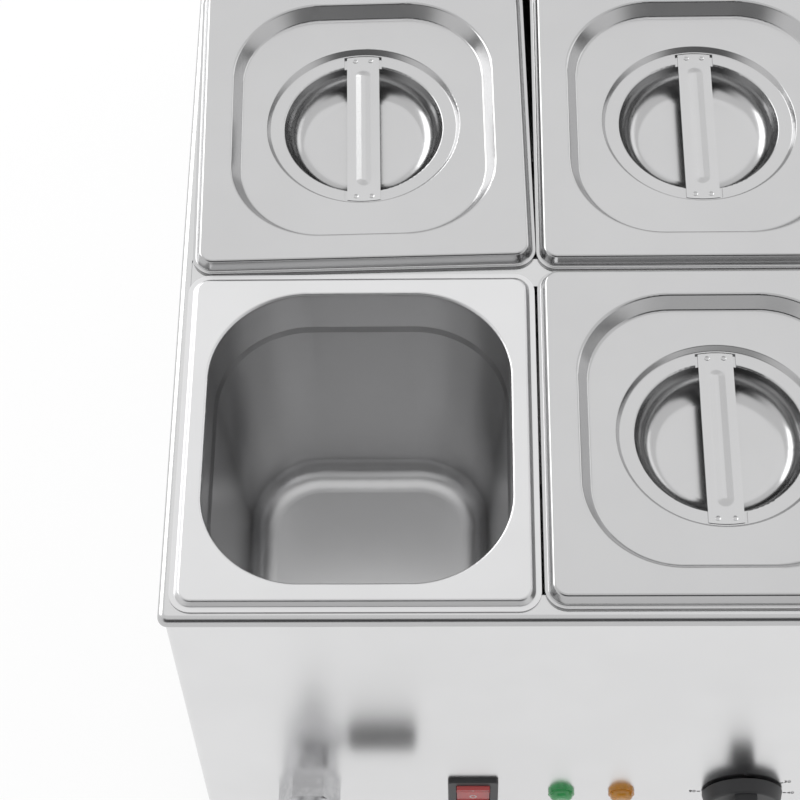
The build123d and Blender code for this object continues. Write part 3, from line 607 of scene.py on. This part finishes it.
def on_surface(node: str, x: float, z: float, ahead: float = 0.05) -> Seat:
    """Finds a spot on the front of a CAD node.

    Args:
        node: Name of the node.
        x: Where to look, in the shared frame.
        z: Where to look, in the shared frame.
        ahead: How far in front of the node the look starts, in metres.

    Returns:
        A seat on the surface there.
    """
    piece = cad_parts[node]
    back = piece.matrix_world.inverted()
    start = Vector((x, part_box(node)[0][1] - ahead, z))
    hit, place, normal, _ = piece.ray_cast(back @ start, back.to_3x3() @ Vector((0.0, 1.0, 0.0)))
    if not hit:
        raise ValueError(f"nothing of {node} at {x}, {z}")
    out = (piece.matrix_world.to_3x3() @ normal).normalized()
    return Seat(piece.matrix_world @ place, out, (UP - UP.dot(out) * out).normalized())


@dataclass
class Marks(Assembly):
    """Dial, pointer, switch marks and painted shade in the drives of the screws."""

    tick_gap: float = 0.0008
    tick_length: float = 0.0016
    number_gap: float = 0.0047
    number_height: float = 0.0036
    letter_height: float = 0.0048
    first_angle: float = 60.0
    step_angle: float = 35.0
    numbers: Sequence[int] = (30, 40, 50, 60, 70, 80, 90)
    switch_letters: Sequence[str] = ("I", "O")
    line_width: float = 0.0008
    # Size and angles of the flat dark bars that paint the shade in the screws' cross drives.
    drive_size: float = 0.0036
    drive_angles: Sequence[Tuple[str, float]] = (("a", 45.0), ("b", 135.0))
    screw_reach: float = 0.02

    def build_dial(self) -> None:
        """Draws the dial on the panel and the pointer on the knob."""
        low, high = (Vector(corner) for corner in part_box("control_knob"))
        middle = (low + high) / 2
        radius = (high.x - low.x) / 2
        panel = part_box("casing")[0][1]
        dial = Seat(Vector((middle.x, panel, middle.z)), Vector((0, -1, 0)), UP)
        print_on = Marker("base", DARK_PRINT_AND_SHADE)
        angles = {0: 0.0}
        angles.update({n: self.first_angle + k * self.step_angle for k, n in enumerate(self.numbers)})
        for number, angle in angles.items():
            spoke = dial.turned(angle)
            tick = spoke.moved(0.0, radius + self.tick_gap + self.tick_length / 2)
            print_on.bar(f"dial_tick_{number}", tick, self.line_width, self.tick_length)
            spot = spoke.moved(0.0, radius + self.number_gap)
            upright = Seat(spot.origin, dial.out, dial.up)
            print_on.word(f"dial_number_{number}", upright, str(number), self.number_height)
        line = Seat(Vector((middle.x, low.y, middle.z)), dial.out, dial.up).moved(0.0, radius / 2)
        Marker("knob", WHITE_PRINT).bar("knob_pointer", line, 2 * self.line_width, radius / 2)

    def build_switch(self) -> None:
        """Draws the two letters on the rocker."""
        low, high = (Vector(corner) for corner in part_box("switch_rocker"))
        middle = (low + high) / 2
        marker = Marker("rocker", WHITE_PRINT)
        for letter, side in zip(self.switch_letters, (1, -1)):
            seat = on_surface("switch_rocker", middle.x, middle.z + side * (high.z - low.z) / 4)
            marker.word(f"switch_{letter}", seat, letter, self.letter_height)

    def build_drives(self) -> None:
        """Draws painted shade in the cross drives: flat dark bars on the heads of the casing's screws."""
        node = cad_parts["casing_screws"]
        heads: List[List[Vector]] = []
        for vertex in node.data.vertices:
            place = node.matrix_world @ vertex.co
            near = next((head for head in heads if (head[0] - place).length < self.screw_reach), None)
            if near is None:
                heads.append([place])
            else:
                near.append(place)
        low, high = (Vector(corner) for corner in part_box("casing"))
        for count, head in enumerate(heads):
            corners = [[f(p[axis] for p in head) for axis in range(3)] for f in (min, max)]
            least, most = (Vector(corner) for corner in corners)
            outs = {
                most.y - high.y: Vector((0, 1, 0)),
                most.x - high.x: Vector((1, 0, 0)),
                low.x - least.x: Vector((-1, 0, 0)),
            }
            out = outs[max(outs)]
            middle = (least + most) / 2
            half = (most - least) / 2
            top = Vector([middle[axis] + out[axis] * half[axis] for axis in range(3)])
            seat = Seat(top, out, UP)
            # Two crossed dark bars on each head are painted shade of the cross recess.
            marker = Marker("base", DARK_PRINT_AND_SHADE)
            for name, angle in self.drive_angles:
                spot = seat.turned(angle)
                marker.bar(f"screw_drive_shade_{count}{name}", spot, self.line_width, self.drive_size)

    def build(self) -> None:
        """Draws all marks."""
        self.build_dial()
        self.build_switch()
        self.build_drives()


@dataclass(frozen=True)
class Shot:
    """The photograph's camera."""

    place: Tuple[float, float, float] = (-0.03515, -0.6911, 1.1591)
    pitch: float = 58.58
    yaw: float = -2.87
    roll: float = -2.73
    focal_pixels: float = 2341.0
    picture_pixels: float = 800.0
    sensor_mm: float = 36.0
    nearest: float = 0.05
    farthest: float = 50.0

    def axes(self) -> Matrix:
        """Works out the camera's rotation.

        Returns:
            A matrix with the camera's right, up and back directions as columns.
        """
        pitch, yaw, roll = (math.radians(a) for a in (self.pitch, self.yaw, self.roll))
        ahead = Vector(
            (math.sin(yaw) * math.cos(pitch), math.cos(yaw) * math.cos(pitch), -math.sin(pitch))
        )
        right = Vector((math.cos(yaw), -math.sin(yaw), 0.0))
        above = right.cross(ahead)
        rolled_right = math.cos(roll) * right + math.sin(roll) * above
        rolled_above = math.cos(roll) * above - math.sin(roll) * right
        return Matrix((rolled_right, rolled_above, -ahead)).transposed()

    def build(self) -> None:
        """Makes the camera."""
        data = bpy.data.cameras.new("photo_camera")
        data.sensor_width = self.sensor_mm
        data.lens = self.focal_pixels / self.picture_pixels * self.sensor_mm
        data.clip_start = self.nearest
        data.clip_end = self.farthest
        camera = bpy.data.objects.new("photo_camera", data)
        bpy.context.scene.collection.objects.link(camera)
        camera.matrix_world = Matrix.Translation(self.place) @ self.axes().to_4x4()
        bpy.context.scene.camera = camera


@dataclass(frozen=True)
class Softbox:
    """A large soft lamp."""

    name: str
    place: Tuple[float, float, float]
    aim: Tuple[float, float, float]
    size: Tuple[float, float]
    power: float

    def build(self) -> None:
        """Makes the lamp."""
        data = bpy.data.lights.new(self.name, "AREA")
        data.shape = "RECTANGLE"
        data.size, data.size_y = self.size
        data.energy = self.power
        lamp = bpy.data.objects.new(self.name, data)
        bpy.context.scene.collection.objects.link(lamp)
        lamp.location = self.place
        lamp.rotation_euler = (Vector(self.aim) - Vector(self.place)).to_track_quat("-Z", "Y").to_euler()
        lamp.visible_camera = False


@dataclass
class Studio:
    """Floor, room tone and lamps."""

    floor_size: float = 12.0
    floor_tone: Colour = (0.9, 0.9, 0.9)
    floor_glow: float = 0.85
    white: Colour = (1.0, 1.0, 1.0)
    patch_tone: Colour = (0.1, 0.1, 0.102)
    patch_foot: Tuple[float, float] = (0.1, 0.34)
    patch_head: Tuple[float, float] = (0.76, 0.94)
    patch_depth: Tuple[float, float] = (-0.5, -0.1)
    patch_side: Tuple[float, float] = (0.4, 0.85)
    lamps: Sequence[Softbox] = (
        Softbox("left_light", (-1.5, 1.05, 0.85), (0.0, 0.0, 0.25), (1.8, 1.5), 20.0),
        Softbox("right_light", (1.35, 0.9, 0.85), (0.0, 0.0, 0.25), (1.2, 0.8), 1.8),
        Softbox("back_light", (0.0, 1.05, 1.95), (0.0, 0.0, 0.25), (1.8, 1.2), 2.2),
    )

    def build_floor(self) -> None:
        """Makes the pale floor."""
        half = self.floor_size / 2
        mesh = bpy.data.meshes.new("floor")
        corners = [(-half, -half, 0), (half, -half, 0), (half, half, 0), (-half, half, 0)]
        mesh.from_pydata(corners, [], [(0, 1, 2, 3)])
        floor = bpy.data.objects.new("floor", mesh)
        bpy.context.scene.collection.objects.link(floor)
        made = bpy.data.materials.new("floor")
        made.use_nodes = True
        graph = Graph(made.node_tree)
        matt = graph.node("ShaderNodeBsdfDiffuse", {"Color": self.floor_tone})
        white = graph.node("ShaderNodeEmission", {"Color": self.white, "Strength": 1.0})
        rays = ("Is Camera Ray", "Is Glossy Ray", "Is Transmission Ray")
        camera, glossy, clear = (graph.node("ShaderNodeLightPath", out=ray) for ray in rays)
        seen = camera.maths("MAXIMUM", glossy).maths("MAXIMUM", clear)
        graph.show(graph.node("ShaderNodeMixShader", {0: seen * self.floor_glow, 1: matt, 2: white}))
        mesh.materials.append(made)

    def build_room(self) -> None:
        """Gives the room its tone: white, with a grey patch in front that the steel mirrors."""
        world = bpy.data.worlds.new("studio")
        bpy.context.scene.world = world
        world.use_nodes = True
        graph = Graph(world.node_tree)
        way = graph.node("ShaderNodeTexCoord", out="Generated")
        parts = [graph.node("ShaderNodeSeparateXYZ", {0: way}, out=axis) for axis in range(3)]
        side, depth, height = parts
        band = height.ramp(*self.patch_foot) * height.ramp(*self.patch_head, 1.0, 0.0)
        across = side.maths("ABSOLUTE").ramp(*self.patch_side, 1.0, 0.0)
        patch = band * depth.ramp(*self.patch_depth, 1.0, 0.0) * across
        seen = graph.node("ShaderNodeLightPath", out="Is Camera Ray")
        white = graph.node("ShaderNodeBackground", {"Color": self.white, "Strength": 1.0})
        grey = graph.node("ShaderNodeBackground", {"Color": self.patch_tone, "Strength": 1.0})
        light = graph.node("ShaderNodeMixShader", {0: patch * (1.0 - seen), 1: white, 2: grey})
        graph.show(light, "ShaderNodeOutputWorld")

    def build(self) -> None:
        """Makes floor, room and lamps."""
        self.build_floor()
        self.build_room()
        for lamp in self.lamps:
            lamp.build()
        bpy.context.scene.view_settings.view_transform = "Standard"


def main() -> None:
    """Builds the whole scene."""
    logging.basicConfig(level=logging.INFO, format="%(name)s: %(message)s")
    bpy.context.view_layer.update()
    Shot().build()
    Studio().build()
    for assembly in (Pans(), Shell(), Works(), Marks()):
        assembly.build()
        assembly.dress()
        LOG.info("dressed %s", type(assembly).__name__)


if __name__ == "__main__":
    main()
